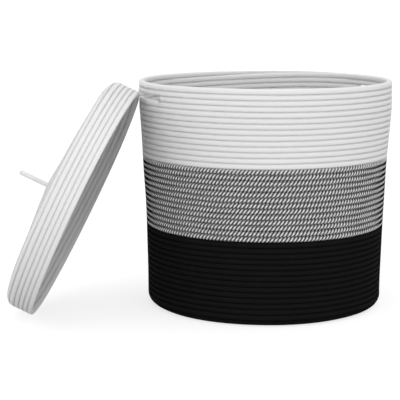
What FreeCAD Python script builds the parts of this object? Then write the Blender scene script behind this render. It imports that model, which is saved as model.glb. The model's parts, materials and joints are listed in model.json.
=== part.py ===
import FreeCAD, Part
import math
import os
from Sketcher import Constraint

# Coiled cotton-rope laundry hamper with a drop-in lid. The rope runs in turns that lie on each
# other and are sewn through, so every wall is a stack of rope rows with a thread in each valley.
# Millimetres, +Z up. The origin is the centre of the base on the floor. The lid is off: it stands
# on the floor at the -X side of the basket and leans on its wall.

doc = FreeCAD.newDocument("rope_hamper")
Vector = FreeCAD.Vector

SIZES = [
    # basket
    ("mouth_radius", 200.0),          # outside radius at the rim
    ("base_radius", 187.0),           # outside radius just above the rounded foot
    ("basket_height", 357.0),
    ("straight_depth", 42.0),         # the top of the wall is upright for this depth
    ("wall_flare", 1.75),             # power by which the wall opens between foot and mouth
    ("corner_radius", 16.0),          # outside radius between wall and base
    ("base_press", 0.5),              # the base's rows are pressed flat underneath by this much
    ("rope_radius", 4.4),
    ("row_press", 0.4),               # the sewing presses neighbouring rows together by this much
    ("white_rows", 14),
    ("mixed_rows", 13),
    # hand slots, where one row of rope is left out
    ("slot_row", 3),                  # counted from the rim
    ("slot_length", 105.0),
    ("slot_azimuth", 198.0),          # middle of the near slot, degrees from +X; the other is opposite
    ("slot_end_radius", 4.1),         # rounded end of the cut rope
    ("tack_width", 2.4),
    ("tack_thickness", 0.8),
    ("tack_height", 14.0),
    ("tack_inset", 4.0),              # from the end of the rope to the tack
    # sewing thread
    ("thread_radius", 0.4),
    ("thread_clearance", 0.12),       # thread to rope
    ("thread_start", 20.0),           # degrees from +X to where a round of thread starts
    # lid
    ("lid_clearance", 0.7),           # lid to the inside of the mouth, all round
    ("lid_rope_radius", 4.0),
    ("lid_row_press", 0.5),
    ("lid_rim_rows", 5),
    ("lid_upright", 28.0),            # straight part of the lid's side, on the rope's centre line
    ("lid_shoulder_radius", 14.0),    # outside radius between side and top
    ("lid_cone_rise", 22.0),          # the top climbs this much from the shoulder to the middle
    ("lid_lean", 25.4),               # degrees from upright
    ("lid_yaw", 4.0),                 # degrees that the lid's axis turns away from -X
    ("lid_side_offset", 87.0),        # the lid's middle is this far in front of the basket's
    ("lid_gap", 0.6),                 # lid to basket wall where it leans
    # rope loop on the lid
    ("loop_turn", 12.2),              # degrees that the loop is turned about the lid's axis
    ("loop_half_width", 30.0),
    ("loop_height", 46.0),            # from its turning axis to the top of the rope
    ("loop_rope_radius", 3.6),
    ("loop_seat_gap", 0.5),           # loop to lid
    ("loop_hole_clearance", 0.15),
    ("loop_axis_height", 4.2),        # turning axis above the lid's top rows at the feet
    ("knot_radius", 7.5),
    ("knot_gap", 0.5),                # knot to the underside of the lid
]

# Even steps along which the rows' centre lines and the lid's seat are worked out.
WALL_STEPS = 400
TURN_STEPS = 60
LID_SIDE_STEPS = 40
LID_TOP_STEPS = 100
SEAT_STEPS = 720

sheet = doc.addObject("Spreadsheet::Sheet", "Sizes")
for row, (alias, value) in enumerate(SIZES, start=1):
    sheet.set("A%d" % row, alias)
    sheet.set("B%d" % row, str(value))
    sheet.setAlias("B%d" % row, alias)
doc.recompute()


def size(alias):
    """A driving dimension, read from the sheet."""
    return float(sheet.get(alias))


# ---------------------------------------------------------------- rows of rope

def even_rows(path, pitch):
    """Points at equal steps along a finely sampled path, nearly a pitch apart, both ends kept."""
    lengths = [0.0]
    for first, second in zip(path, path[1:]):
        lengths.append(lengths[-1] + (second - first).Length)
    steps = max(1, round(lengths[-1] / pitch))
    rows = []
    index = 0
    for step in range(steps + 1):
        wanted = lengths[-1] * step / steps
        while index < len(path) - 2 and lengths[index + 1] < wanted:
            index += 1
        span = lengths[index + 1] - lengths[index]
        share = (wanted - lengths[index]) / span
        rows.append(path[index] + (path[index + 1] - path[index]) * share)
    return rows


def side_normal(before, after):
    """Unit normal on the right of the way from one centre to another, in the XZ half plane."""
    way = after - before
    way.normalize()
    return Vector(-way.z, 0, way.x)


def neck(first, second, radius, side):
    """Where two neighbouring rope sections meet, on one side of the stack."""
    half = (second - first).Length / 2
    reach = math.sqrt(radius ** 2 - half ** 2)
    return (first + second) / 2 + side_normal(first, second) * (reach * side)


def rope_band(rows, radius, before=None, after=None, angle=360.0):
    """Solid of neighbouring rope rows. An end with a neighbour is cut flat where the two meet,
    an end without one is round, and a row on the axis closes the band there."""
    chain = ([before] if before is not None else []) + rows + ([after] if after is not None else [])
    on_axis = abs(rows[-1].x) < 1e-9
    first = 1 if before is not None else 0
    edges = []
    ends = {}
    for side in (1, -1):
        points = []
        for index in range(first, first + len(rows)):
            here = chain[index]
            previous = chain[index - 1] if index > 0 else None
            following = chain[index + 1] if index + 1 < len(chain) else None
            normal = side_normal(previous or here, following or here) * side
            start = neck(previous, here, radius, side) if previous else here + normal * radius
            if following:
                end = neck(here, following, radius, side)
            elif on_axis:
                end = here + Vector(0, 0, math.copysign(radius, normal.z))
            else:
                end = here + normal * radius
            outward = normal if previous and following else (start + end - here * 2).normalize()
            middle = here + outward * radius
            edges.append(Part.Arc(start, middle, end).toShape())
            points.append((start, end))
        ends[side] = (points[0][0], points[-1][1])
    for which, row, neighbour, opposite in ((0, rows[0], before, -1), (1, rows[-1], after, 1)):
        one, other = ends[1][which], ends[-1][which]
        if neighbour is not None or (which == 1 and on_axis):
            edges.append(Part.LineSegment(one, other).toShape())
        else:
            inner = rows[1] if which == 0 else rows[-2]
            outward = (row - inner).normalize()
            edges.append(Part.Arc(one, row + outward * radius, other).toShape())
    face = Part.Face(Part.Wire(Part.__sortEdges__(edges)))
    return face.revolve(Vector(0, 0, 0), Vector(0, 0, 1), angle)


def thread_ring(centre, thread, start, sweep):
    """One round of thread, drawn with a square section that stands on its corner."""
    corners = [centre + Vector(x, 0, z) * thread for x, z in ((1, 0), (0, 1), (-1, 0), (0, -1), (1, 0))]
    ring = Part.Face(Part.makePolygon(corners)).revolve(Vector(0, 0, 0), Vector(0, 0, 1), sweep)
    ring.rotate(Vector(0, 0, 0), Vector(0, 0, 1), start)
    return ring


def valley_threads(rows, radius, arcs=None, around=0.0, keep_off=0.0):
    """Needle thread outside and bobbin thread inside, one ring in each valley between rows.
    arcs gives start and sweep angles where a thread doesn't go all the way round. Rings nearer
    than keep_off to the radius around are left out."""
    thread = size("thread_radius")
    reach = radius + thread + size("thread_clearance")
    rings = {1: [], -1: []}
    for first, second in zip(rows, rows[1:]):
        half = (second - first).Length / 2
        offset = math.sqrt(reach ** 2 - half ** 2)
        for side in rings:
            centre = (first + second) / 2 + side_normal(first, second) * (offset * side)
            if centre.x < 2 * thread or abs(centre.x - around) < keep_off:
                continue
            for start, sweep in arcs or [(size("thread_start"), 360.0)]:
                rings[side].append(thread_ring(centre, thread, start, sweep))
    return rings[1], rings[-1]


def add_shape(label, shape, placement=None):
    """A sub-part whose rows are worked out above."""
    feature = doc.addObject("Part::Feature", label)
    feature.Label = label
    feature.Shape = shape
    if placement is not None:
        feature.Placement = placement
    return feature


# ---------------------------------------------------------------- basket

def wall_path():
    """Centre line of the rope rows from the rim down the wall and round the foot."""
    rope = size("rope_radius")
    corner = size("corner_radius")
    top = size("basket_height") - rope
    straight = size("basket_height") - size("straight_depth")
    flare = size("mouth_radius") - size("base_radius")
    path = []
    for step in range(WALL_STEPS + 1):
        height = top + (corner - top) * step / WALL_STEPS
        share = min(1.0, (height - corner) / (straight - corner))
        outside = size("base_radius") + flare * share ** size("wall_flare")
        path.append(Vector(outside - rope, 0, height))
    turn_centre = Vector(size("base_radius") - corner, 0, corner - size("base_press"))
    for step in range(TURN_STEPS + 1):
        turn = math.pi / 2 * step / TURN_STEPS
        arm = Vector(math.cos(turn), 0, -math.sin(turn)) * (corner - rope)
        path.append(turn_centre + arm)
    return path


rope = size("rope_radius")
row_pitch = 2 * rope - size("row_press")
wall = even_rows(wall_path(), row_pitch)
white_end = int(size("white_rows"))
mixed_end = white_end + int(size("mixed_rows"))
slot_index = int(size("slot_row")) - 1
foot = wall[-1]
base_rings = even_rows([foot, Vector(0, 0, foot.z)], row_pitch)[1:]

slot_half = math.degrees(size("slot_length") / 2 / wall[slot_index].x)
arc_sweep = 180 - 2 * slot_half
arc_starts = {"front_slot_row": size("slot_azimuth") + slot_half,
              "back_slot_row": size("slot_azimuth") + slot_half - 180}

sub_parts = [
    add_shape("rim_coil", rope_band(wall[:slot_index], rope, after=wall[slot_index])),
    add_shape("upper_wall_coil", rope_band(wall[slot_index + 1:white_end], rope,
                                           before=wall[slot_index], after=wall[white_end])),
    add_shape("middle_wall_coil", rope_band(wall[white_end:mixed_end], rope,
                                            before=wall[white_end - 1], after=wall[mixed_end])),
]

# The rows that stand on the floor are pressed flat there.
press = doc.addObject("Part::Cylinder", "floor_press")
press.setExpression("Radius", "Sizes.mouth_radius + Sizes.base_radius")
press.setExpression("Height", "Sizes.rope_radius")
press.setExpression("Placement.Base.z", "-Sizes.rope_radius")
floor_rows = {
    "lower_wall_coil": rope_band(wall[mixed_end:], rope,
                                 before=wall[mixed_end - 1], after=base_rings[0]),
    "base_coil": rope_band(base_rings, rope, before=foot),
}
for label, rows in floor_rows.items():
    pressed = doc.addObject("Part::Cut", label)
    pressed.Label = label
    pressed.Base = add_shape(label + "_round", rows)
    pressed.Tool = press
    sub_parts.append(pressed)

# The row of the hand slots is two lengths of rope, each with rounded ends.
for label, start in arc_starts.items():
    bar = rope_band([wall[slot_index]], rope, before=wall[slot_index - 1],
                    after=wall[slot_index + 1], angle=arc_sweep)
    tips = []
    for turn in (0, arc_sweep):
        tip = Part.makeSphere(size("slot_end_radius"))
        tip.translate(wall[slot_index])
        tip.rotate(Vector(0, 0, 0), Vector(0, 0, 1), turn)
        tips.append(tip)
    arc = bar.multiFuse(tips).removeSplitter()
    arc.rotate(Vector(0, 0, 0), Vector(0, 0, 1), start)
    sub_parts.append(add_shape(label, Part.Solid(arc.Solids[0])))

# Threads: those beside the slot row stop at its ends.
slot_arcs = [(start, arc_sweep) for start in arc_starts.values()]
thread_zones = {
    "rim": [(wall[:slot_index], None), (wall[slot_index - 1:slot_index + 2], slot_arcs)],
    "upper_wall": [(wall[slot_index + 1:white_end + 1], None)],
    "middle_wall": [(wall[white_end:mixed_end + 1], None)],
    "lower_wall": [(wall[mixed_end:], None)],
    "base": [([foot] + base_rings[:-1], None)],
}
for zone, stretches in thread_zones.items():
    needle, bobbin = [], []
    for rows, arcs in stretches:
        outside, inside = valley_threads(rows, rope, arcs)
        needle += outside
        bobbin += inside
    sub_parts.append(add_shape(zone + "_needle_thread", Part.makeCompound(needle)))
    sub_parts.append(add_shape(zone + "_bobbin_thread", Part.makeCompound(bobbin)))

# Bar tacks hold the cut rope at both ends of both slots. They lie on the outside of the wall.
tacks = []
tack_turn = slot_half + math.degrees(size("tack_inset") / wall[slot_index].x)
for number, turn in enumerate((tack_turn, -tack_turn, 180 + tack_turn, 180 - tack_turn)):
    tack = doc.addObject("Part::Box", "slot_tack_%d" % (number + 1))
    tack.setExpression("Length", "Sizes.tack_thickness")
    tack.setExpression("Width", "Sizes.tack_width")
    tack.setExpression("Height", "Sizes.tack_height")
    about = FreeCAD.Rotation(Vector(0, 0, 1), size("slot_azimuth") + turn)
    corner = Vector(size("mouth_radius") + size("thread_clearance"), -size("tack_width") / 2,
                    wall[slot_index].z - size("tack_height") / 2)
    tack.Placement = FreeCAD.Placement(about.multVec(corner), about)
    tacks.append(tack)
tack_group = doc.addObject("Part::Compound", "slot_bar_tacks")
tack_group.Label = "slot_bar_tacks"
tack_group.Links = tacks
sub_parts.append(tack_group)

# ---------------------------------------------------------------- lid
# Built on its own axis: the open edge is at height 0 and the top points along +Z.

lid_rope = size("lid_rope_radius")
lid_radius = size("mouth_radius") - 2 * rope - size("lid_clearance")


def lid_path():
    """Centre line of the lid's rows from the open edge over the shoulder to the middle."""
    turn_radius = size("lid_shoulder_radius") - lid_rope
    turn_centre = Vector(lid_radius - size("lid_shoulder_radius"), 0, lid_rope + size("lid_upright"))
    slope = math.atan2(size("lid_cone_rise"), turn_centre.x)
    path = []
    for step in range(LID_SIDE_STEPS + 1):
        height = lid_rope + size("lid_upright") * step / LID_SIDE_STEPS
        path.append(Vector(lid_radius - lid_rope, 0, height))
    for step in range(1, TURN_STEPS + 1):
        turn = (math.pi / 2 - slope) * step / TURN_STEPS
        path.append(turn_centre + Vector(math.cos(turn), 0, math.sin(turn)) * turn_radius)
    last = path[-1]
    middle = Vector(0, 0, last.z + last.x * math.tan(slope))
    for step in range(1, LID_TOP_STEPS + 1):
        path.append(last + (middle - last) * (step / LID_TOP_STEPS))
    return path, slope


def lid_seat():
    """Placement of the leaning lid: its rim stands on the floor and meets the wall with a gap."""
    lean = math.radians(size("lid_lean"))
    yaw = math.radians(size("lid_yaw"))
    outward = Vector(-math.cos(lean) * math.cos(yaw), math.cos(lean) * math.sin(yaw), math.sin(lean))
    upward = Vector(math.sin(lean) * math.cos(yaw), -math.sin(lean) * math.sin(yaw), math.cos(lean))
    sideways = outward.cross(upward)
    height = (lid_radius - lid_rope) * math.cos(lean) + lid_rope - lid_rope * math.sin(lean)
    clear = size("mouth_radius") + size("lid_gap")
    middle_x = 0.0
    for step in range(SEAT_STEPS):
        turn = 2 * math.pi * step / SEAT_STEPS
        edge = (upward * math.cos(turn) + sideways * math.sin(turn)) * (lid_radius - lid_rope)
        edge += outward * lid_rope
        across = edge.y - size("lid_side_offset")
        reach = clear + lid_rope
        if abs(across) < reach:
            wall_x = -math.sqrt(reach ** 2 - across ** 2)
            middle_x = min(middle_x, wall_x - edge.x)
    middle = Vector(middle_x, -size("lid_side_offset"), height)
    matrix = FreeCAD.Matrix(upward.x, sideways.x, outward.x, middle.x,
                            upward.y, sideways.y, outward.y, middle.y,
                            upward.z, sideways.z, outward.z, middle.z,
                            0, 0, 0, 1)
    return FreeCAD.Placement(matrix)


seat = lid_seat()
path, cone_slope = lid_path()
lid_rows = even_rows(path, 2 * lid_rope - size("lid_row_press"))
rim_end = int(size("lid_rim_rows"))

sub_parts.append(add_shape("lid_rim_coil", rope_band(lid_rows[:rim_end], lid_rope,
                                                     after=lid_rows[rim_end]), seat))

# The loop's rope goes through the lid at two holes, and its ends are knotted underneath.
loop_rope = size("loop_rope_radius")
half_width = size("loop_half_width")
rows_top = lid_rows[-1].z + lid_rope - half_width * math.tan(cone_slope)
axis_height = rows_top + size("loop_axis_height")
stub_top = axis_height - loop_rope - size("loop_seat_gap")
underside = lid_rows[-1].z - lid_rope - half_width * math.tan(cone_slope)
knot_height = underside - size("knot_gap") - size("knot_radius")
hole_length = 6 * lid_rope            # right through the rows, with room above and below
loop_seat = FreeCAD.Placement(Vector(0, 0, 0), FreeCAD.Rotation(Vector(0, 0, 1), size("loop_turn")))

top_rows = add_shape("lid_top_rows", rope_band(lid_rows[rim_end:], lid_rope,
                                               before=lid_rows[rim_end - 1]))
holes, stubs = [], []
for name, side in (("near", -1), ("far", 1)):
    hole = doc.addObject("Part::Cylinder", name + "_loop_hole")
    hole.setExpression("Radius", "Sizes.loop_rope_radius + Sizes.loop_hole_clearance")
    hole.Height = hole_length
    hole.Placement.Base = Vector(0, side * half_width, underside - lid_rope)
    holes.append(hole)
    stub = doc.addObject("Part::Cylinder", name + "_loop_stub")
    stub.setExpression("Radius", "Sizes.loop_rope_radius")
    stub.Height = stub_top - knot_height
    stub.Placement.Base = Vector(0, side * half_width, knot_height)
    knot = doc.addObject("Part::Sphere", name + "_loop_knot_ball")
    knot.setExpression("Radius", "Sizes.knot_radius")
    knot.Placement.Base = Vector(0, side * half_width, knot_height)
    end = doc.addObject("Part::MultiFuse", name + "_loop_end")
    end.Shapes = [stub, knot]
    stubs.append(end)
hole_group = doc.addObject("Part::Compound", "loop_holes")
hole_group.Links = holes
hole_group.Placement = loop_seat
lid_top = doc.addObject("Part::Cut", "lid_top_coil")
lid_top.Label = "lid_top_coil"
lid_top.Base = top_rows
lid_top.Tool = hole_group
lid_top.Placement = seat
sub_parts.append(lid_top)
knots = doc.addObject("Part::Compound", "loop_knots")
knots.Label = "loop_knots"
knots.Links = stubs
knots.Placement = seat.multiply(loop_seat)
sub_parts.append(knots)

rim_needle, rim_bobbin = valley_threads(lid_rows[:rim_end + 1], lid_rope)
top_needle, top_bobbin = valley_threads(
    lid_rows[rim_end:-1], lid_rope, around=half_width,
    keep_off=size("knot_radius") + size("thread_radius") + size("thread_clearance"))
for label, rings in (("lid_rim_needle_thread", rim_needle), ("lid_rim_bobbin_thread", rim_bobbin),
                     ("lid_top_needle_thread", top_needle), ("lid_top_bobbin_thread", top_bobbin)):
    sub_parts.append(add_shape(label, Part.makeCompound(rings), seat))

# ---------------------------------------------------------------- loop handle
# A rope arch on the lid. It turns on the line through its two feet.


def plane_of(body, role):
    """One of a body's own origin planes."""
    return next(feature for feature in body.Origin.OriginFeatures if feature.Role == role)


arch = doc.addObject("PartDesign::Body", "loop_arch")
route = arch.newObject("Sketcher::SketchObject", "arch_route")
route.AttachmentSupport = (plane_of(arch, "YZ_Plane"), "")
route.MapMode = "FlatFace"
leg = size("loop_height") - half_width - loop_rope
near_foot, near_shoulder = Vector(-half_width, 0, 0), Vector(-half_width, leg, 0)
far_foot, far_shoulder = Vector(half_width, 0, 0), Vector(half_width, leg, 0)
crown = Part.ArcOfCircle(Part.Circle(Vector(0, leg, 0), Vector(0, 0, 1), half_width), 0, math.pi)
route.addGeometry(Part.LineSegment(near_foot, near_shoulder), False)
route.addGeometry(crown, False)
route.addGeometry(Part.LineSegment(far_shoulder, far_foot), False)
start_point, end_point, centre_point = 1, 2, 3
route.addConstraint([
    Constraint("Tangent", 0, end_point, 1, end_point),
    Constraint("Tangent", 1, start_point, 2, start_point),
    Constraint("Vertical", 0),
    Constraint("Vertical", 2),
    Constraint("PointOnObject", 0, start_point, -1),
    Constraint("PointOnObject", 2, end_point, -1),
    Constraint("PointOnObject", 1, centre_point, -2),
])
radius_at = route.addConstraint(Constraint("Radius", 1, half_width))
route.setExpression("Constraints[%d]" % radius_at, "Sizes.loop_half_width")
leg_at = route.addConstraint(Constraint("DistanceY", 0, start_point, 0, end_point, leg))
route.setExpression("Constraints[%d]" % leg_at,
                    "Sizes.loop_height - Sizes.loop_half_width - Sizes.loop_rope_radius")
section = arch.newObject("Sketcher::SketchObject", "rope_section")
section.AttachmentSupport = (plane_of(arch, "XY_Plane"), "")
section.MapMode = "FlatFace"
section.addGeometry(Part.Circle(Vector(0, -half_width, 0), Vector(0, 0, 1), loop_rope), False)
section.addConstraint(Constraint("PointOnObject", 0, centre_point, -2))
radius_at = section.addConstraint(Constraint("Radius", 0, loop_rope))
section.setExpression("Constraints[%d]" % radius_at, "Sizes.loop_rope_radius")
offset_at = section.addConstraint(Constraint("DistanceY", 0, centre_point, -1, 1, half_width))
section.setExpression("Constraints[%d]" % offset_at, "Sizes.loop_half_width")
doc.recompute()
pipe = arch.newObject("PartDesign::AdditivePipe", "arch_rope")
pipe.Profile = section
pipe.Spine = (route, ["Edge1", "Edge2", "Edge3"])
pipe.Mode = "Frenet"
arch.Tip = pipe
feet = []
for name, side in (("near", -1), ("far", 1)):
    ball = doc.addObject("Part::Sphere", name + "_foot")
    ball.setExpression("Radius", "Sizes.loop_rope_radius")
    ball.Placement.Base = Vector(0, side * half_width, 0)
    feet.append(ball)
loop = doc.addObject("Part::MultiFuse", "handle_loop")
loop.Label = "handle_loop"
loop.Shapes = [arch] + feet
raised = FreeCAD.Placement(Vector(0, 0, axis_height), FreeCAD.Rotation())
loop.Placement = seat.multiply(loop_seat).multiply(raised)
sub_parts.append(loop)

# ---------------------------------------------------------------- checks and files

doc.recompute()
for item in doc.Objects:
    if "Invalid" in item.State or "Error" in item.State:
        raise RuntimeError("%s did not build: %s" % (item.Name, item.State))
for item in sub_parts:
    if item.Shape.isNull() or not item.Shape.isValid():
        raise RuntimeError("%s has a bad shape" % item.Label)

os.makedirs("parts", exist_ok=True)
for item in sub_parts:
    item.Shape.exportStep(os.path.join("parts", item.Label + ".step"))
    box = item.Shape.BoundBox
    print("%-26s %3d solids %10.1f cm3  z %.2f to %.2f" % (
        item.Label, len(item.Shape.Solids), item.Shape.Volume / 1000, box.ZMin, box.ZMax))
hinge = seat.multVec(Vector(0, 0, axis_height))
way = loop.Placement.Rotation.multVec(Vector(0, 1, 0))
print("loop axis through (%.3f, %.3f, %.3f), along (%.5f, %.5f, %.5f)" % (*hinge, *way))
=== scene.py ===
import json
import math

import bpy
import numpy as np
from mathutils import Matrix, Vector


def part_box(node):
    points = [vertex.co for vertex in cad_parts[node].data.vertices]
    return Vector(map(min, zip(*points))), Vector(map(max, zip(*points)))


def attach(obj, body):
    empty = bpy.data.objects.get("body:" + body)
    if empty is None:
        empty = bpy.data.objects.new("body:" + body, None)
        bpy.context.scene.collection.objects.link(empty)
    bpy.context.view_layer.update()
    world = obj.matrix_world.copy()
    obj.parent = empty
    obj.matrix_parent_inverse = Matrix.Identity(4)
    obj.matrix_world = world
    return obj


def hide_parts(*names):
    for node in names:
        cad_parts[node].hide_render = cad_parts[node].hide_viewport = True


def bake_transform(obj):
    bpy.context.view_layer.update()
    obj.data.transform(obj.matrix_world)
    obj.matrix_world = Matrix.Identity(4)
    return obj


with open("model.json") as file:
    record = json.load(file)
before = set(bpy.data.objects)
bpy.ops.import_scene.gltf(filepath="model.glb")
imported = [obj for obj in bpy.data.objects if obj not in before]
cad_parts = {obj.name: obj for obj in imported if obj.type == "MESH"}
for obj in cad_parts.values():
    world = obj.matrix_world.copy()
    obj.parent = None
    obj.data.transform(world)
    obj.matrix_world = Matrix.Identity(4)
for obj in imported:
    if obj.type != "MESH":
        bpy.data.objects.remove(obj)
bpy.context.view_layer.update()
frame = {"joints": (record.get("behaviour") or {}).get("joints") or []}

# A coiled cotton-rope hamper and its lid. One rope is wound round and round: each turn lies on the
# one before it and is sewn to it with a zigzag lock stitch. Metres, +Z up, basket centred on Z.

MM = 0.001
FULL_TURN = 2 * math.pi

# ------------------------------------------------------------------ sizes of the basket and lid

basket_low, basket_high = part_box("rim_coil")
MOUTH_RADIUS = (basket_high.x - basket_low.x) / 2
BASKET_HEIGHT = basket_high.z
BASE_RADIUS = 187 * MM
STRAIGHT_DEPTH = 42 * MM          # the top of the wall is upright for this depth
WALL_FLARE = 1.75
CORNER_RADIUS = 16 * MM
FLOOR_PRESS = 0.5 * MM            # the rows on the floor are pressed flat by this much
ROPE = 4.4 * MM                   # radius of the wall's rope
ROW_PITCH = 8.4 * MM
WHITE_ROWS = 14
MIXED_ROWS = 13
SLOT_ROW = 2                      # the row of the hand slots, counted from 0 at the rim
SLOT_LENGTH = 105 * MM
SLOT_AZIMUTH = 198                # degrees from +X; the other slot is opposite
TACK_INSET = 4 * MM

LID_CLEARANCE = 0.7 * MM
LID_ROPE = 4.0 * MM
LID_PITCH = 7.5 * MM
LID_RIM_ROWS = 5
LID_UPRIGHT = 28 * MM
LID_SHOULDER = 14 * MM
LID_RISE = 22 * MM
LID_LEAN = math.radians(25.4)     # from upright
LOOP_ROPE = 3.6 * MM
LOOP_HALF_WIDTH = 30 * MM
LOOP_TURN = math.radians(12.2)    # of the loop about the lid's axis
LID_YAW = math.radians(4)         # of the lid's axis away from -X
LOOP_HEIGHT = 46 * MM
LOOP_AXIS_HEIGHT = 4.2 * MM       # above the lid's rows at the loop's feet
KNOT_DEPTH = 8.0 * MM             # middle of a knot below the lid's underside

CLIMB_START, CLIMB_END = 0.36, 0.64   # share of a turn, from the front, where the rope climbs a row
CLIMB_MIDDLE = 0.5
EVEN_TURNS = 9                    # turns on the flat over which the rope comes to wind evenly
WALL_ROWS = 42                    # rows above the base
BASKET_FLAT_ROW = 41              # from here the basket's rows lie on the flat
LID_FLAT_ROW = 9
CENTRE_GAP = 0.06                 # rows left open in the middle of a spiral
UNSEWN_ROWS = 1.6                 # the innermost rows, which carry no stitches

# Handmade unevenness of a row, in and out and up and down. It dies away towards a spiral's middle.
SLOW_WAVER = 0.28 * MM
QUICK_WAVER = 0.16 * MM
DROOP = 0.16 * MM
CALM_RADIUS = 60 * MM

# ------------------------------------------------------------------ rules of the two coils


def cumulative(points):
    """Length along a path, at each of its points."""
    return np.concatenate([[0.0], np.cumsum(np.linalg.norm(np.diff(points, axis=0), axis=1))])


def smooth(share):
    share = np.clip(share, 0.0, 1.0)
    return share * share * (3 - 2 * share)


class Coil:
    """A rope wound on a profile. The profile gives radius and height for each row, and turns
    count from the front: turn 3.0 is the front of row 3, turn 3.5 the back, where rows meet."""

    def __init__(self, legs, pitch, rope, origin, axes, outside, flat_from):
        self.rope = rope
        self.origin = np.array(origin)
        self.axes = np.array(axes)
        self.outside = outside
        self.flat_from = flat_from
        rows, radii, heights = [], [], []
        start = 0
        for leg in legs:
            lengths = cumulative(leg)
            steps = max(1, round(lengths[-1] / pitch))
            rows.append(start + lengths / lengths[-1] * steps)
            radii.append(leg[:, 0])
            heights.append(leg[:, 1])
            start += steps
        self.rows = np.concatenate(rows)
        self.radii = np.concatenate(radii)
        self.heights = np.concatenate(heights)
        self.last_row = start

    def profile(self, row):
        return np.interp(row, self.rows, self.radii), np.interp(row, self.rows, self.heights)

    def row_at(self, turns):
        """Row that the rope lies in. It changes row at the back, and on the flat it winds evenly."""
        whole = np.floor(turns)
        part = turns - whole
        step = smooth((part - CLIMB_START) / (CLIMB_END - CLIMB_START))
        even = np.clip((whole - self.flat_from) / EVEN_TURNS, 0, 1)
        return whole + step * (1 - even) + part * even

    def place(self, turns, row, lift=0.0):
        """Points, outward directions and directions towards the next row, at those turns."""
        radius, height = self.profile(row)
        nudge = 0.02
        inner_radius, inner_height = self.profile(np.minimum(row + nudge, self.last_row))
        outer_radius, outer_height = self.profile(np.maximum(row - nudge, 0.0))
        way = np.stack([inner_radius - outer_radius, inner_height - outer_height], 1)
        way /= np.linalg.norm(way, axis=1)[:, None]
        normal = np.stack([-way[:, 1], way[:, 0]], 1) * self.outside
        angle = turns * FULL_TURN - math.pi / 2
        waver = SLOW_WAVER * np.sin(3 * angle + 0.31 * row) + QUICK_WAVER * np.sin(7 * angle - 0.5 * row)
        droop = DROOP * np.sin(4 * angle + 0.2 * row)
        away = np.clip(radius / CALM_RADIUS, 0, 1)
        radius = radius + normal[:, 0] * (lift + waver * away) + way[:, 0] * droop * away
        height = height + normal[:, 1] * (lift + waver * away) + way[:, 1] * droop * away
        across, up = np.cos(angle), np.sin(angle)
        points = self.world(radius * across, radius * up, height) + self.origin
        outward = self.world(normal[:, 0] * across, normal[:, 0] * up, normal[:, 1])
        onward = self.world(way[:, 0] * across, way[:, 0] * up, way[:, 1])
        return points, outward, onward

    def world(self, x, y, z):
        return np.stack([x, y, z], 1) @ self.axes


def wall_leg():
    top = BASKET_HEIGHT - ROPE
    heights = np.linspace(top, CORNER_RADIUS, 400)
    share = np.clip((heights - CORNER_RADIUS) / (BASKET_HEIGHT - STRAIGHT_DEPTH - CORNER_RADIUS), 0, 1)
    outside = BASE_RADIUS + (MOUTH_RADIUS - BASE_RADIUS) * share ** WALL_FLARE
    upright = np.stack([outside - ROPE, heights], 1)
    turn = np.linspace(0, math.pi / 2, 60)
    arm = CORNER_RADIUS - ROPE
    foot = np.stack([BASE_RADIUS - CORNER_RADIUS + arm * np.cos(turn),
                     CORNER_RADIUS - FLOOR_PRESS - arm * np.sin(turn)], 1)
    return np.concatenate([upright, foot])


def lid_leg():
    radius = MOUTH_RADIUS - 2 * ROPE - LID_CLEARANCE
    arm = LID_SHOULDER - LID_ROPE
    centre_radius, centre_height = radius - LID_SHOULDER, LID_ROPE + LID_UPRIGHT
    slope = math.atan2(LID_RISE, centre_radius)
    turn = np.linspace(0, math.pi / 2 - slope, 60)
    shoulder = np.stack([centre_radius + arm * np.cos(turn), centre_height + arm * np.sin(turn)], 1)
    top_height = shoulder[-1, 1] + shoulder[-1, 0] * math.tan(slope)
    edge = np.array([[radius - LID_ROPE, LID_ROPE]])
    middle = np.array([[0.0, top_height]])
    return np.concatenate([edge, shoulder, middle]), slope


wall = wall_leg()
floor_leg = np.stack([np.linspace(wall[-1, 0], 0, 50), np.full(50, wall[-1, 1])], 1)
basket = Coil([wall, floor_leg], ROW_PITCH, ROPE, (0, 0, 0), np.eye(3), 1, BASKET_FLAT_ROW)

# The lid's own directions. The loop's hinge line goes through its axis.
hinge = next(joint for joint in frame["joints"] if joint["name"] == "loop_fold")
lid_across = np.array([math.sin(LID_YAW), math.cos(LID_YAW), 0.0])
lid_out = np.array([-math.cos(LID_LEAN) * math.cos(LID_YAW), math.cos(LID_LEAN) * math.sin(LID_YAW),
                    math.sin(LID_LEAN)])
lid_up = np.cross(lid_across, lid_out)
loop_across = lid_across * math.cos(LOOP_TURN) - lid_up * math.sin(LOOP_TURN)
loop_beside = np.cross(loop_across, lid_out)
lid_profile, lid_slope = lid_leg()
lid_top_height = lid_profile[-1, 1]
feet_surface = lid_top_height + LID_ROPE - LOOP_HALF_WIDTH * math.tan(lid_slope)
axis_height = feet_surface + LOOP_AXIS_HEIGHT
lid_origin = np.array(hinge["pos_m"]) - lid_out * axis_height
lid = Coil([lid_profile], LID_PITCH, LID_ROPE, lid_origin, (lid_up, lid_across, lid_out), -1, LID_FLAT_ROW)

# ------------------------------------------------------------------ node trees


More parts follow.
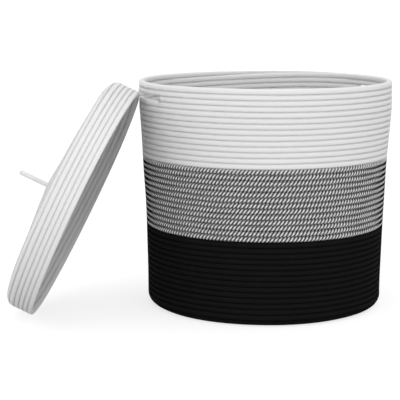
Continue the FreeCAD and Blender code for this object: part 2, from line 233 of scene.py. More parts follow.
class Value:
    """A number in a node tree. Sums with it add the maths nodes."""

    def __init__(self, tree, socket):
        self.tree = tree
        self.socket = socket

    def maths(self, operation, *others):
        return Value(self.tree, add_node(self.tree, "ShaderNodeMath", {"operation": operation},
                                         [self, *others]).outputs[0])

    def reflected(self, operation, other):
        return Value(self.tree, add_node(self.tree, "ShaderNodeMath", {"operation": operation},
                                         [other, self]).outputs[0])

    def __add__(self, other):
        return self.maths("ADD", other)

    def __radd__(self, other):
        return self.reflected("ADD", other)

    def __sub__(self, other):
        return self.maths("SUBTRACT", other)

    def __rsub__(self, other):
        return self.reflected("SUBTRACT", other)

    def __mul__(self, other):
        return self.maths("MULTIPLY", other)

    def __rmul__(self, other):
        return self.reflected("MULTIPLY", other)

    def __truediv__(self, other):
        return self.maths("DIVIDE", other)

    def __gt__(self, other):
        return self.maths("GREATER_THAN", other)


def add_node(tree, kind, settings=None, sockets=None):
    """One node: its settings first, then its sockets by place or by name."""
    node = tree.nodes.new(kind)
    for key, value in (settings or {}).items():
        setattr(node, key, value)
    pairs = sockets.items() if isinstance(sockets, dict) else enumerate(sockets or [])
    for key, value in pairs:
        source = value.socket if isinstance(value, Value) else value
        if isinstance(source, bpy.types.NodeSocket):
            tree.links.new(source, node.inputs[key])
        else:
            node.inputs[key].default_value = source
    return node


def new_tree(name, inputs):
    """A geometry tree with a path going in, named sizes, and the finished mesh coming out."""
    tree = bpy.data.node_groups.new(name, "GeometryNodeTree")
    tree.interface.new_socket("Path", in_out="INPUT", socket_type="NodeSocketGeometry")
    for label, kind in inputs:
        tree.interface.new_socket(label, in_out="INPUT", socket_type=kind)
    tree.interface.new_socket("Mesh", in_out="OUTPUT", socket_type="NodeSocketGeometry")
    return tree, add_node(tree, "NodeGroupInput").outputs


def close_tree(tree, mesh, finish):
    """The end of every tree: real faces with their finish."""
    real = add_node(tree, "GeometryNodeRealizeInstances", None, {"Geometry": mesh})
    painted = add_node(tree, "GeometryNodeSetMaterial", None,
                       {"Geometry": real.outputs[0], "Material": finish})
    add_node(tree, "NodeGroupOutput", None, {"Mesh": painted.outputs[0]})


def named(tree, name, kind):
    return add_node(tree, "GeometryNodeInputNamedAttribute", {"data_type": kind}, {"Name": name}).outputs[0]


def path_curve(tree, path):
    """The path as a curve whose sections stand square to the outward direction."""
    curve = add_node(tree, "GeometryNodeMeshToCurve", None, {"Mesh": path}).outputs[0]
    square = add_node(tree, "GeometryNodeSetCurveNormal", {"mode": "FREE"},
                      {"Curve": curve, "Normal": named(tree, "outward", "FLOAT_VECTOR")})
    return square.outputs[0]


def sweep(tree, curve, section, floor_height):
    """A section swept along the curve, scaled by its thickness and kept off the floor."""
    sockets = {"Curve": curve, "Profile Curve": section, "Scale": named(tree, "thickness", "FLOAT"),
               "Fill Caps": True}
    swept = add_node(tree, "GeometryNodeCurveToMesh", None, sockets).outputs[0]
    around = add_node(tree, "ShaderNodeSeparateXYZ", None, [named(tree, "around", "FLOAT_VECTOR")]).outputs
    place = add_node(tree, "ShaderNodeCombineXYZ", None,
                     [around[0], around[1], named(tree, "along", "FLOAT")]).outputs[0]
    stored = add_node(tree, "GeometryNodeStoreNamedAttribute", {"data_type": "FLOAT_VECTOR"},
                      {"Geometry": swept, "Name": "rope_place", "Value": place}).outputs[0]
    here = add_node(tree, "ShaderNodeSeparateXYZ", None,
                    [add_node(tree, "GeometryNodeInputPosition").outputs[0]]).outputs
    resting = Value(tree, here[2]).maths("MAXIMUM", floor_height)
    pressed = add_node(tree, "ShaderNodeCombineXYZ", None, [here[0], here[1], resting]).outputs[0]
    moved = add_node(tree, "GeometryNodeSetPosition", None,
                     {"Geometry": stored, "Position": pressed}).outputs[0]
    return add_node(tree, "GeometryNodeSetShadeSmooth", None, {"Geometry": moved}).outputs[0]


def store_around(tree, section):
    """Keeps the direction of each point of a section, turned so that the first is outward."""
    here = add_node(tree, "ShaderNodeSeparateXYZ", None,
                    [add_node(tree, "GeometryNodeInputPosition").outputs[0]]).outputs
    turned = add_node(tree, "ShaderNodeCombineXYZ", None,
                      [here[1], Value(tree, here[0]) * -1.0, 0.0]).outputs[0]
    unit = add_node(tree, "ShaderNodeVectorMath", {"operation": "NORMALIZE"}, [turned]).outputs[0]
    return add_node(tree, "GeometryNodeStoreNamedAttribute", {"data_type": "FLOAT_VECTOR"},
                    {"Geometry": section, "Name": "around", "Value": unit}).outputs[0]


FLOAT, WHOLE, FINISH = "NodeSocketFloat", "NodeSocketInt", "NodeSocketMaterial"


def rope_tube_tree():
    """A braided rope: round, but pressed flat against its neighbours."""
    tree, given = new_tree("rope_tube", [("Sides", WHOLE), ("Fullness", FLOAT), ("Pressed half", FLOAT),
                                         ("Floor height", FLOAT), ("Finish", FINISH)])
    ring = add_node(tree, "GeometryNodeCurvePrimitiveCircle", None,
                    {"Resolution": given["Sides"], "Radius": 1.0}).outputs[0]
    ring = store_around(tree, ring)
    here = add_node(tree, "ShaderNodeSeparateXYZ", None,
                    [add_node(tree, "GeometryNodeInputPosition").outputs[0]]).outputs
    half, power = Value(tree, given["Pressed half"]), Value(tree, given["Fullness"])
    wide, deep = (Value(tree, part).maths("ABSOLUTE").maths("POWER", power) for part in here[:2])
    fuller = (wide + deep).maths("POWER", power.reflected("DIVIDE", -1.0))
    beside = (fuller * here[0]).maths("MINIMUM", half).maths("MAXIMUM", half * -1.0)
    flat = add_node(tree, "ShaderNodeCombineXYZ", None, [beside, fuller * here[1], 0.0]).outputs[0]
    ring = add_node(tree, "GeometryNodeSetPosition", None, {"Geometry": ring, "Position": flat}).outputs[0]
    mesh = sweep(tree, path_curve(tree, given["Path"]), ring, given["Floor height"])
    close_tree(tree, mesh, given["Finish"])
    return tree


def twisted_rope_tree():
    """Strands laid round each other. The section has a lobe for each strand and turns as it goes."""
    tree, given = new_tree("twisted_rope", [("Points per strand", WHOLE), ("Strands", WHOLE),
                                            ("Lay", FLOAT), ("Strand share", FLOAT),
                                            ("Floor height", FLOAT), ("Finish", FINISH)])
    strands = Value(tree, given["Strands"])
    count = strands * Value(tree, given["Points per strand"])
    ring = add_node(tree, "GeometryNodeCurvePrimitiveCircle", None,
                    {"Resolution": count, "Radius": 1.0}).outputs[0]
    ring = store_around(tree, ring)
    here = add_node(tree, "ShaderNodeSeparateXYZ", None,
                    [add_node(tree, "GeometryNodeInputPosition").outputs[0]]).outputs
    angle = Value(tree, here[1]).maths("ARCTAN2", here[0])
    lobe = strands.reflected("DIVIDE", FULL_TURN)
    off = angle / lobe
    off = (off - (off + 0.5).maths("FLOOR")) * lobe
    share = Value(tree, given["Strand share"])
    reach = 1.0 - share
    side = reach * off.maths("SINE")
    radius = reach * off.maths("COSINE") + (share * share - side * side).maths("SQRT")
    lobed = add_node(tree, "ShaderNodeVectorMath", {"operation": "SCALE"},
                     {0: add_node(tree, "GeometryNodeInputPosition").outputs[0], "Scale": radius}).outputs[0]
    ring = add_node(tree, "GeometryNodeSetPosition", None, {"Geometry": ring, "Position": lobed}).outputs[0]
    tilt = Value(tree, named(tree, "along", "FLOAT")) / given["Lay"] * -FULL_TURN
    laid = add_node(tree, "GeometryNodeSetCurveTilt", None,
                    {"Curve": path_curve(tree, given["Path"]), "Tilt": tilt}).outputs[0]
    mesh = sweep(tree, laid, ring, given["Floor height"])
    close_tree(tree, mesh, given["Finish"])
    return tree


def zigzag_stitch_tree():
    """Thread that crosses from row to row over the valley between them."""
    tree, given = new_tree("zigzag_stitch", [("Stitch length", FLOAT), ("Half width", FLOAT),
                                             ("Thread sides", WHOLE), ("Floor height", FLOAT),
                                             ("Finish", FINISH)])
    curve = path_curve(tree, given["Path"])
    curve = add_node(tree, "GeometryNodeResampleCurve", {"mode": "LENGTH"},
                     {"Curve": curve, "Length": given["Stitch length"]}).outputs[0]
    index = Value(tree, add_node(tree, "GeometryNodeInputIndex").outputs[0])
    swing = (index.maths("MODULO", 2.0) * 2.0 - 1.0) * given["Half width"]
    step = add_node(tree, "ShaderNodeVectorMath", {"operation": "SCALE"},
                    {0: named(tree, "across", "FLOAT_VECTOR"), "Scale": swing}).outputs[0]
    curve = add_node(tree, "GeometryNodeSetPosition", None, {"Geometry": curve, "Offset": step}).outputs[0]
    ring = add_node(tree, "GeometryNodeCurvePrimitiveCircle", None,
                    {"Resolution": given["Thread sides"], "Radius": 1.0}).outputs[0]
    mesh = sweep(tree, curve, store_around(tree, ring), given["Floor height"])
    close_tree(tree, mesh, given["Finish"])
    return tree


ROPE_TUBE = rope_tube_tree()
TWISTED_ROPE = twisted_rope_tree()
ZIGZAG_STITCH = zigzag_stitch_tree()

# ------------------------------------------------------------------ finishes


def new_finish(name, **constants):
    """A material with one plain shader, and its constants on the shader's own sockets."""
    material = bpy.data.materials.new(name)
    material.use_nodes = True
    tree = material.node_tree
    tree.nodes.clear()
    shader = add_node(tree, "ShaderNodeBsdfPrincipled", None, constants)
    add_node(tree, "ShaderNodeOutputMaterial", None, {"Surface": shader.outputs[0]})
    return material, tree, shader


def rope_place(tree):
    """Angle round the rope, its cosine and sine, and the length along it."""
    place = add_node(tree, "ShaderNodeAttribute", {"attribute_name": "rope_place"}).outputs["Vector"]
    parts = add_node(tree, "ShaderNodeSeparateXYZ", None, [place]).outputs
    cosine, sine, along = (Value(tree, part) for part in parts)
    return sine.maths("ARCTAN2", cosine), cosine, sine, along


def noise(tree, scale, detail=2.0):
    """Soft unevenness on the object's own coordinates, from 0 to 1."""
    where = add_node(tree, "ShaderNodeTexCoord").outputs["Object"]
    made = add_node(tree, "ShaderNodeTexNoise", None,
                    {"Vector": where, "Scale": scale, "Detail": detail, "Roughness": 0.55})
    return Value(tree, made.outputs["Fac"])


def plait(tree, angle, along, count, length):
    """Height of a plaited sheath: two families of yarns that pass over and under."""
    one = angle * (count / FULL_TURN) + along / length
    other = angle * (count / FULL_TURN) - along / length
    parity = (one.maths("FLOOR") + other.maths("FLOOR")).maths("MODULO", 2.0).maths("ABSOLUTE")
    one_arch = (one.maths("FRACT") * math.pi).maths("SINE")
    other_arch = (other.maths("FRACT") * math.pi).maths("SINE")
    over = one_arch * (0.55 + other_arch * 0.45)
    under = other_arch * (0.55 + one_arch * 0.45)
    return over + (under - over) * parity


def mix_colour(tree, share, first, second):
    """The colour mix node, whose colours are its sockets 6 and 7 and whose result is output 2."""
    return add_node(tree, "ShaderNodeMix", {"data_type": "RGBA"}, {0: share, 6: first, 7: second}).outputs[2]


def bump(tree, shader, height, depth):
    made = add_node(tree, "ShaderNodeBump", None, {"Height": height, "Distance": depth, "Strength": 1.0})
    tree.links.new(made.outputs[0], shader.inputs["Normal"])


def grey(level):
    return (level, level, level, 1.0)


PLAIT_YARNS = 10
PLAIT_LENGTH = 3.1 * MM
YARN_LAY = 2.6 * MM
PLY_LAY = 0.9 * MM


def cotton_sheath(name, light, dark, gloss):
    """Plaited cotton in two shades: the darker one is painted into the plait's grooves as shade, with loose
    fibre and patches of random tone on top.
    """
    material, tree, shader = new_finish(name, **{"Specular IOR Level": gloss})
    angle, _, _, along = rope_place(tree)
    height = plait(tree, angle, along, PLAIT_YARNS, PLAIT_LENGTH)
    fibre = noise(tree, 2600.0, 3.0)
    patch = noise(tree, 38.0, 3.0)
    # The plait's height darkens the colour in its grooves, a painted shade; fibre and patch add random tone.
    groove_shade_and_tone = height * 0.55 + fibre * 0.25 + patch * 0.45 - 0.12
    shade = mix_colour(tree, groove_shade_and_tone.maths("MINIMUM", 1.0).maths("MAXIMUM", 0.0), dark, light)
    tree.links.new(shade, shader.inputs["Base Color"])
    rough = patch * 0.12 + 0.82
    tree.links.new(rough.socket, shader.inputs["Roughness"])
    bump(tree, shader, height * 0.75 + fibre * 0.25, 0.34 * MM)
    return material


def mixed_strands(name, light, dark):
    """Twisted rope, its strands black and white in turn, each spun from fine yarns."""
    material, tree, shader = new_finish(name, **{"Roughness": 0.9, "Specular IOR Level": 0.1})
    angle, cosine, sine, along = rope_place(tree)
    black = (sine * sine) > cosine * cosine
    yarn = (angle * 14.0 - along * (FULL_TURN / YARN_LAY)).maths("SINE") * 0.5 + 0.5
    fibre = noise(tree, 2400.0, 3.0)
    patch = noise(tree, 60.0, 2.0)
    # The yarns' lay darkens the colour between the yarns, a painted shade; fibre and patch add random tone.
    groove_shade_and_tone = (yarn * 0.4 + fibre * 0.3 + patch * 0.3).maths("MINIMUM", 1.0)
    white_shade = mix_colour(tree, groove_shade_and_tone, grey(light * 0.86), grey(light * 1.06))
    black_shade = mix_colour(tree, groove_shade_and_tone, grey(dark * 0.7), grey(dark * 1.5))
    tree.links.new(mix_colour(tree, black, white_shade, black_shade), shader.inputs["Base Color"])
    bump(tree, shader, yarn * 0.6 + fibre * 0.4, 0.22 * MM)
    return material


def sewing_thread(name, light, dark, rough, gloss):
    """Plied sewing thread with a faint shine."""
    material, tree, shader = new_finish(name, **{"Roughness": rough, "Specular IOR Level": gloss})
    angle, _, _, along = rope_place(tree)
    ply = (angle * 2.0 + along * (FULL_TURN / PLY_LAY)).maths("SINE") * 0.5 + 0.5
    uneven = noise(tree, 400.0, 2.0)
    # The ply darkens the colour in the grooves between the plies, a painted shade; the noise adds random
    # tone.
    shade = mix_colour(tree, (ply * 0.6 + uneven * 0.4), dark, light)
    tree.links.new(shade, shader.inputs["Base Color"])
    bump(tree, shader, ply, 0.08 * MM)
    return material


# For the cotton sheaths and threads, the second and darker colour is the painted shade in the grooves.
WHITE_COTTON = cotton_sheath("white_cotton_rope", grey(0.85), grey(0.82), 0.1)
BLACK_COTTON = cotton_sheath("black_cotton_rope", grey(0.011), grey(0.005), 0.03)
MIXED_COTTON = mixed_strands("mixed_cotton_rope", 0.84, 0.085)
WHITE_THREAD = sewing_thread("white_sewing_thread", grey(0.84), grey(0.78), 0.7, 0.2)
BLACK_THREAD = sewing_thread("black_sewing_thread", grey(0.008), grey(0.004), 0.6, 0.05)

# ------------------------------------------------------------------ making pieces


def path_mesh(name, chains):
    """Loose edges through the points of each chain, with what the trees read stored on them."""
    mesh = bpy.data.meshes.new(name)
    points, edges, values = [], [], {}
    for chain in chains:
        first = sum(len(part) for part in points)
        count = len(chain["points"])
        points.append(chain["points"])
        edges.append(np.stack([np.arange(first, first + count - 1), np.arange(first + 1, first + count)], 1))
        for key in chain:
            if key != "points":
                values.setdefault(key, []).append(np.asarray(chain[key], float))
    points = np.concatenate(points)
    edges = np.concatenate(edges)
    mesh.vertices.add(len(points))
    mesh.vertices.foreach_set("co", points.astype(np.float32).ravel())
    mesh.edges.add(len(edges))
    mesh.edges.foreach_set("vertices", edges.astype(np.int32).ravel())
    for key, parts in values.items():
        data = np.concatenate(parts).astype(np.float32)
        kind, field = ("FLOAT_VECTOR", "vector") if data.ndim == 2 else ("FLOAT", "value")
        attribute = mesh.attributes.new(key, kind, "POINT")
        attribute.data.foreach_set(field, data.ravel())
    mesh.update()
    return mesh


def turn_outwards(mesh):
    """Flips a closed mesh whose faces point inwards."""
    mesh.calc_loop_triangles()
    corners = np.empty(len(mesh.loop_triangles) * 3, np.int32)
    mesh.loop_triangles.foreach_get("vertices", corners)
    points = np.empty(len(mesh.vertices) * 3, np.float32)
    mesh.vertices.foreach_get("co", points)
    one, two, three = points.reshape(-1, 3)[corners.reshape(-1, 3)].astype(float).transpose(1, 0, 2)
    if np.einsum("ij,ij->i", one, np.cross(two, three)).sum() < 0:
        mesh.flip_normals()


def grow(name, tree, chains, settings, body, replaced):
    """Runs a tree on the chains and keeps its plain mesh as a piece of that body."""
    piece = bpy.data.objects.new(name, path_mesh(name + "_path", chains))
    bpy.context.scene.collection.objects.link(piece)
    modifier = piece.modifiers.new("grown", "NODES")
    modifier.node_group = tree
    known = {item.name: item.identifier for item in tree.interface.items_tree if item.in_out == "INPUT"}
    for label, value in settings.items():
        modifier[known[label]] = value
    graph = bpy.context.evaluated_depsgraph_get()
    graph.update()
    seen = piece.evaluated_get(graph)
    mesh = bpy.data.meshes.new_from_object(seen)
    piece.modifiers.remove(modifier)
    for label in ("outward", "across", "along", "around", "thickness"):
        if label in mesh.attributes:
            mesh.attributes.remove(mesh.attributes[label])
    mesh.name = name
    piece.data = mesh
    turn_outwards(mesh)
    if body:
        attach(piece, body)
    if replaced:
        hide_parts(*replaced)
    return piece


ROPE_SAMPLES = 500                # a turn, for measuring along a rope
STITCH_SAMPLES = 300              # a turn, for a line of stitches
END_REACH = 1.2                   # of the rope's radius, taken up by a round end
TIP_SHARE = 0.03                  # of the rope's thickness, at the very end of its tip


def rope_chain(coil, start, end, step, taper_start=False, taper_end=False):
    """The rope of a coil from one turn to another, in even steps, with round ends where asked."""
    count = max(60, int((end - start) * ROPE_SAMPLES))
    turns = np.linspace(start, end, count)
    lengths = cumulative(coil.place(turns, coil.row_at(turns))[0])
    wanted = np.linspace(0, lengths[-1], max(8, int(round(lengths[-1] / step))))
    ends = coil.rope * (1 - np.cos(np.linspace(0, math.pi / 2, 6)))
    if taper_start:
        wanted = np.concatenate([ends, wanted[wanted > coil.rope * END_REACH]])
    if taper_end:
        kept = wanted[wanted < lengths[-1] - coil.rope * END_REACH]
        wanted = np.concatenate([kept, lengths[-1] - ends[::-1]])
    turns = np.interp(wanted, lengths, turns)
    points, outward, _ = coil.place(turns, coil.row_at(turns))
    thickness = coil.rope * (1 + 0.012 * np.sin(turns * 41.0) + 0.008 * np.sin(turns * 97.0))
    for taper, near in ((taper_start, wanted), (taper_end, lengths[-1] - wanted)):
        if taper:
            inside = np.clip(1 - near / coil.rope, 0, 1)
            thickness = thickness * np.maximum(np.sqrt(1 - inside ** 2), 0.12)
    return {"points": points, "outward": outward, "thickness": thickness,
            "along": wanted + start * FULL_TURN * MOUTH_RADIUS}


def rope_tip(coil, step):
    """The free end on the first row: it thins out into the gap over the row that climbs to meet it."""
    climb = CLIMB_END - CLIMB_START
    turns = np.linspace(CLIMB_START - 1, CLIMB_END - 1, int(FULL_TURN * coil.radii[0] * climb / step))
    share = smooth((turns - turns[0]) / (turns[-1] - turns[0]))
    share = np.maximum(share, TIP_SHARE)
    middle, outward, onward = coil.place(turns, np.zeros_like(turns))
    points = middle - onward * ((1 - share) * coil.rope)[:, None]
    lengths = cumulative(points)
    return {"points": points, "outward": outward, "thickness": coil.rope * share,
            "along": lengths - lengths[-1] + turns[-1] * FULL_TURN * MOUTH_RADIUS}


def valley_chain(coil, start, end, lift, thread, inside=False):
    """The line between a row and the next, a little above the rope's middle, for a row of stitches."""
    turns = np.linspace(start, end, max(30, int((end - start) * STITCH_SAMPLES)))
    row = np.minimum(coil.row_at(turns) + 0.5, coil.last_row)
    height = -lift if inside else lift
    points, outward, onward = coil.place(turns, row, height)
    if inside:
        outward = -outward
    return {"points": points, "outward": outward, "across": onward,
            "thickness": np.full(len(turns), thread), "along": cumulative(points)}


TUBE = {"Sides": 16, "Fullness": 3.2, "Pressed half": 0.97, "Floor height": 0.0}

# ------------------------------------------------------------------ basket: rope

WALL_STEP = 4.2 * MM
white_end = WHITE_ROWS - CLIMB_MIDDLE
mixed_end = WHITE_ROWS + MIXED_ROWS - CLIMB_MIDDLE
basket_centre = basket.last_row - CENTRE_GAP
slot_radius = MOUTH_RADIUS - ROPE
slot_half = math.degrees(SLOT_LENGTH / 2 / slot_radius)


def turn_of(azimuth, row):
    """Turns at which the rope of a row passes an azimuth in degrees from +X."""
    part = (azimuth + 90) / 360
    part -= math.floor(part + 0.5)
    return row + part


near_start, near_end = (turn_of(SLOT_AZIMUTH + side * slot_half, SLOT_ROW) for side in (-1, 1))
far_start, far_end = (turn_of(SLOT_AZIMUTH - 180 + side * slot_half, SLOT_ROW) for side in (-1, 1))


def white_rope(name, chains, replaced):
    return grow(name, ROPE_TUBE, chains, {**TUBE, "Finish": WHITE_COTTON}, "basket", replaced)


white_rope("rim_rope", [rope_tip(basket, WALL_STEP), rope_chain(basket, CLIMB_END - 1, 1.5, WALL_STEP)],
           ["rim_coil"])
white_rope("back_slot_rope", [rope_chain(basket, 1.5, near_start, WALL_STEP, taper_end=True),
                              rope_chain(basket, far_end, 2.5, WALL_STEP, taper_start=True)],
           ["back_slot_row"])
white_rope("front_slot_rope", [rope_chain(basket, near_end, far_start, WALL_STEP, True, True)],
           ["front_slot_row"])
white_rope("upper_wall_rope", [rope_chain(basket, 2.5, white_end, WALL_STEP)], ["upper_wall_coil"])

LAY = 11.5 * MM
MIXED_STEP = LAY / 12
mixed_cuts = [white_end, white_end + 3, white_end + 6, white_end + 9, mixed_end]
for number, (start, end) in enumerate(zip(mixed_cuts, mixed_cuts[1:]), start=1):
    grow("mixed_rope_%d" % number, TWISTED_ROPE, [rope_chain(basket, start, end, MIXED_STEP)],
         {"Points per strand": 4, "Strands": 4, "Lay": LAY, "Strand share": 0.5,
          "Floor height": 0.0, "Finish": MIXED_COTTON}, "basket", ["middle_wall_coil"])

grow("lower_wall_rope", ROPE_TUBE, [rope_chain(basket, mixed_end, WALL_ROWS + 0.5, WALL_STEP)],
     {**TUBE, "Finish": BLACK_COTTON}, "basket", ["lower_wall_coil"])
grow("base_rope", ROPE_TUBE, [rope_chain(basket, WALL_ROWS + 0.5, basket_centre, WALL_STEP, taper_end=True)],
     {**TUBE, "Pressed half": 1.0, "Finish": BLACK_COTTON}, "basket", ["base_coil"])

# ------------------------------------------------------------------ basket: stitches

THREAD = 0.36 * MM
STITCH = {"Stitch length": 2.7 * MM, "Half width": 2.2 * MM, "Thread sides": 4, "Floor height": 0.0}
STITCH_LIFT = 3.95 * MM
gaps = sorted([(near_start - 1, near_end - 1), (far_start - 1, far_end - 1),
               (near_start, near_end), (far_start, far_end)])
zones = [("rim", CLIMB_END - 1, SLOT_ROW + 0.5, WHITE_THREAD, "white_thread"),
         ("upper_wall", SLOT_ROW + 0.5, white_end, WHITE_THREAD, "white_thread"),
         ("middle_wall", white_end, mixed_end, BLACK_THREAD, "black_thread"),
         ("lower_wall", mixed_end, WALL_ROWS + 0.5, BLACK_THREAD, "black_thread"),
         ("base", WALL_ROWS + 0.5, basket.last_row - UNSEWN_ROWS, BLACK_THREAD, "black_thread")]


def clear_stretches(start, end):
    """The stretches between two turns that no hand slot interrupts."""
    stretches = []
    for low, high in gaps:
        if low < end and high > start:
            if low > start:
                stretches.append((start, low))
            start = high
    return stretches + [(start, end)]


for zone, start, end, finish, slot in zones:
    for kind, inside in (("needle", False), ("bobbin", True)):
        chains = [valley_chain(basket, one, two, STITCH_LIFT, THREAD, inside)
                  for one, two in clear_stretches(start, end)]
        grow("%s_%s_stitches" % (zone, kind), ZIGZAG_STITCH, chains, {**STITCH, "Finish": finish},
             "basket", ["%s_%s_thread" % (zone, kind)])

TACK_HEIGHT = 14 * MM
TACK_PROUD = 0.35 * MM            # thread's middle outside the wall
TACK_POINTS = 12
tack_turn = slot_half + math.degrees(TACK_INSET / slot_radius)
tack_chains = []
for azimuth in (tack_turn, -tack_turn, 180 + tack_turn, 180 - tack_turn):
    angle = math.radians(SLOT_AZIMUTH + azimuth)
    outward = np.array([math.cos(angle), math.sin(angle), 0.0])
    across = np.array([-math.sin(angle), math.cos(angle), 0.0])
    middle_height = basket.profile(SLOT_ROW)[1]
    heights = np.linspace(-TACK_HEIGHT / 2, TACK_HEIGHT / 2, TACK_POINTS)
    upright = np.stack([heights * 0, heights * 0, heights + middle_height], 1)
    points = outward * (MOUTH_RADIUS + TACK_PROUD) + upright
    tack_chains.append({"points": points, "outward": np.tile(outward, (TACK_POINTS, 1)),
                        "across": np.tile(across, (TACK_POINTS, 1)),
                        "thickness": np.full(TACK_POINTS, THREAD),
                        "along": heights})
grow("slot_tack_stitches", ZIGZAG_STITCH, tack_chains,
     {"Stitch length": 0.42 * MM, "Half width": 1.2 * MM, "Thread sides": 5, "Floor height": 0.0,
      "Finish": WHITE_THREAD}, "basket", ["slot_bar_tacks"])

# ------------------------------------------------------------------ lid

LID_STEP = 4.0 * MM
LID_TUBE = {"Sides": 16, "Fullness": 3.2, "Pressed half": 0.955, "Floor height": 0.0,
            "Finish": WHITE_COTTON}
rim_cut = LID_RIM_ROWS - CLIMB_MIDDLE
lid_centre = lid.last_row - CENTRE_GAP
grow("lid_rim_rope", ROPE_TUBE, [rope_tip(lid, LID_STEP), rope_chain(lid, CLIMB_END - 1, rim_cut, LID_STEP)],
     LID_TUBE, "lid", ["lid_rim_coil"])
grow("lid_top_rope", ROPE_TUBE, [rope_chain(lid, rim_cut, lid_centre, LID_STEP, taper_end=True)],
     LID_TUBE, "lid", ["lid_top_coil"])

LID_STITCH_LIFT = 3.6 * MM
LID_STITCH = {"Stitch length": 2.6 * MM, "Half width": 2.0 * MM, "Thread sides": 4, "Floor height": 0.0}
lid_zones = [("lid_rim", CLIMB_END - 1, rim_cut), ("lid_top", rim_cut, lid.last_row - UNSEWN_ROWS)]
for zone, start, end in lid_zones:
    for kind, inside in (("needle", False), ("bobbin", True)):
        chains = [valley_chain(lid, start, end, LID_STITCH_LIFT, THREAD, inside)]
        grow("%s_%s_stitches" % (zone, kind), ZIGZAG_STITCH, chains, {**LID_STITCH, "Finish": WHITE_THREAD},
             "lid", ["%s_%s_thread" % (zone, kind)])

# ------------------------------------------------------------------ loop handle and its knots


def lid_point(beside, across, out):
    return lid_origin + loop_beside * beside + loop_across * across + lid_out * out


underside = lid_top_height - LID_ROPE - LOOP_HALF_WIDTH * math.tan(lid_slope)
crown_height = axis_height + LOOP_HEIGHT - LOOP_ROPE
shoulder_height = crown_height - LOOP_HALF_WIDTH
knot_height = underside - KNOT_DEPTH


def arch_points():
    """The loop's line from below the lid on one side, over its crown, to below it on the other."""
    leg = np.linspace(knot_height, shoulder_height, 60)
    turn = np.linspace(math.pi, 0, 90)[1:-1]
    near = [lid_point(0, -LOOP_HALF_WIDTH, out) for out in leg]
    crown = [lid_point(0, LOOP_HALF_WIDTH * math.cos(part),
                       shoulder_height + LOOP_HALF_WIDTH * math.sin(part))
             for part in turn]
    far = [lid_point(0, LOOP_HALF_WIDTH, out) for out in leg[::-1]]
    return np.array(near + crown + far)


arch = arch_points()
arch_outward = np.tile(loop_beside, (len(arch), 1))
loop_chain = {"points": arch, "outward": arch_outward, "thickness": np.full(len(arch), LOOP_ROPE),
              "along": cumulative(arch)}
LOOP_TUBE = {"Sides": 20, "Fullness": 2.0, "Pressed half": 1.0, "Floor height": 0.0,
             "Finish": WHITE_COTTON}
loop_rope = grow("handle_loop_rope", ROPE_TUBE, [loop_chain], LOOP_TUBE, None, ["handle_loop"])
lid_point(0, 0, feet_surface - 1 * MM)
lid_point(0, 0, feet_surface + 12 * MM)
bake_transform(loop_rope)

KNOT_SIZE = 2.5 * MM
KNOT_ROPE = 3.1 * MM              # radius, drawn thinner by the knot
KNOT_OPENING = 0.15               # radians left open between the knot's ends, on each side
knot_chains = []
for side in (-1, 1):
    turn = np.linspace(KNOT_OPENING, FULL_TURN - KNOT_OPENING, 120)
    ring_up = (np.sin(turn) + 2 * np.sin(2 * turn)) * KNOT_SIZE
    ring_across = (np.cos(turn) - 2 * np.cos(2 * turn)) * KNOT_SIZE
    ring_out = -np.sin(3 * turn) * KNOT_SIZE * 1.1
    points = np.array([lid_point(up, side * LOOP_HALF_WIDTH + across, knot_height + out)
                       for up, across, out in zip(ring_up, ring_across, ring_out)])
    knot_chains.append({"points": points, "outward": np.tile(lid_out, (len(points), 1)),
                        "thickness": np.full(len(points), KNOT_ROPE), "along": cumulative(points)})
grow("loop_knot_ropes", ROPE_TUBE, knot_chains, {**LOOP_TUBE, "Sides": 14}, "lid",
     ["loop_knots"])

# ------------------------------------------------------------------ floor, light and camera


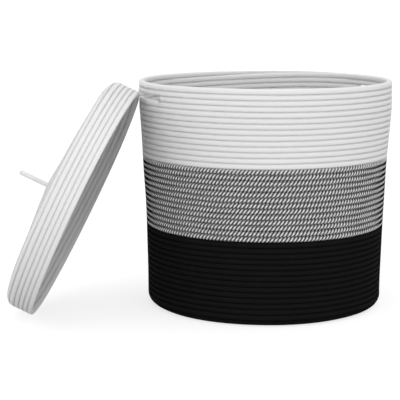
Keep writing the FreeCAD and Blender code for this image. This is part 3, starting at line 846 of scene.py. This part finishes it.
def studio_finish(name, shade, seen_glow, cast_glow):
    """A pale floor that is lit evenly where it is seen, and throws less light up than that."""
    material, tree, shader = new_finish(name, **{"Base Color": shade, "Roughness": 1.0,
                                                 "Specular IOR Level": 0.0, "Emission Strength": 1.0})
    seen = add_node(tree, "ShaderNodeLightPath").outputs["Is Camera Ray"]
    tree.links.new(mix_colour(tree, seen, cast_glow, seen_glow), shader.inputs["Emission Color"])
    return material


FLOOR_REACH = 60.0
FLOOR_DROP = 0.3 * MM             # keeps the floor clear of the rows that rest on it
floor_mesh = bpy.data.meshes.new("studio_floor")
floor_mesh.from_pydata([(x * FLOOR_REACH, y * FLOOR_REACH, -FLOOR_DROP) for x, y in
                        ((-1, -1), (1, -1), (1, 1), (-1, 1))], [], [(0, 1, 2, 3)])
floor = bpy.data.objects.new("studio_floor", floor_mesh)
bpy.context.scene.collection.objects.link(floor)
floor_mesh.materials.append(studio_finish("pale_floor", grey(0.4), grey(0.72), grey(0.22)))

world = bpy.data.worlds.new("studio")
bpy.context.scene.world = world
world.use_nodes = True
world.node_tree.nodes.clear()
glow = add_node(world.node_tree, "ShaderNodeBackground", None, {"Color": (1, 1, 1, 1), "Strength": 0.93})
add_node(world.node_tree, "ShaderNodeOutputWorld", None, {"Surface": glow.outputs[0]})


def soft_box(name, place, aim, width, power):
    light = bpy.data.lights.new(name, "AREA")
    light.shape = "SQUARE"
    light.size = width
    light.energy = power
    holder = bpy.data.objects.new(name, light)
    bpy.context.scene.collection.objects.link(holder)
    holder.location = place
    way = np.array(aim) - np.array(place)
    holder.rotation_euler = Vector(way).to_track_quat("-Z", "Y").to_euler()


soft_box("key_soft_box", (-1.3, -2.0, 2.4), (-0.1, 0, 0.3), 2.2, 8)
soft_box("front_soft_box", (-0.6, -2.6, 0.8), (-0.1, 0, 0.2), 1.5, 8)
soft_box("fill_soft_box", (1.5, -2.5, 1.0), (-0.1, 0, 0.2), 1.5, 8)

CAMERA_DIP = 9.2                  # degrees below level
camera_data = bpy.data.cameras.new("studio_camera")
camera_data.lens = 124.65
camera_data.sensor_width = 36
camera_data.clip_end = 200
camera = bpy.data.objects.new("studio_camera", camera_data)
bpy.context.scene.collection.objects.link(camera)
camera.location = (-0.1034, -2.2, 0.519)
camera.rotation_euler = (math.radians(90 - CAMERA_DIP), 0, 0)
bpy.context.scene.camera = camera
bpy.context.scene.view_settings.view_transform = "Standard"
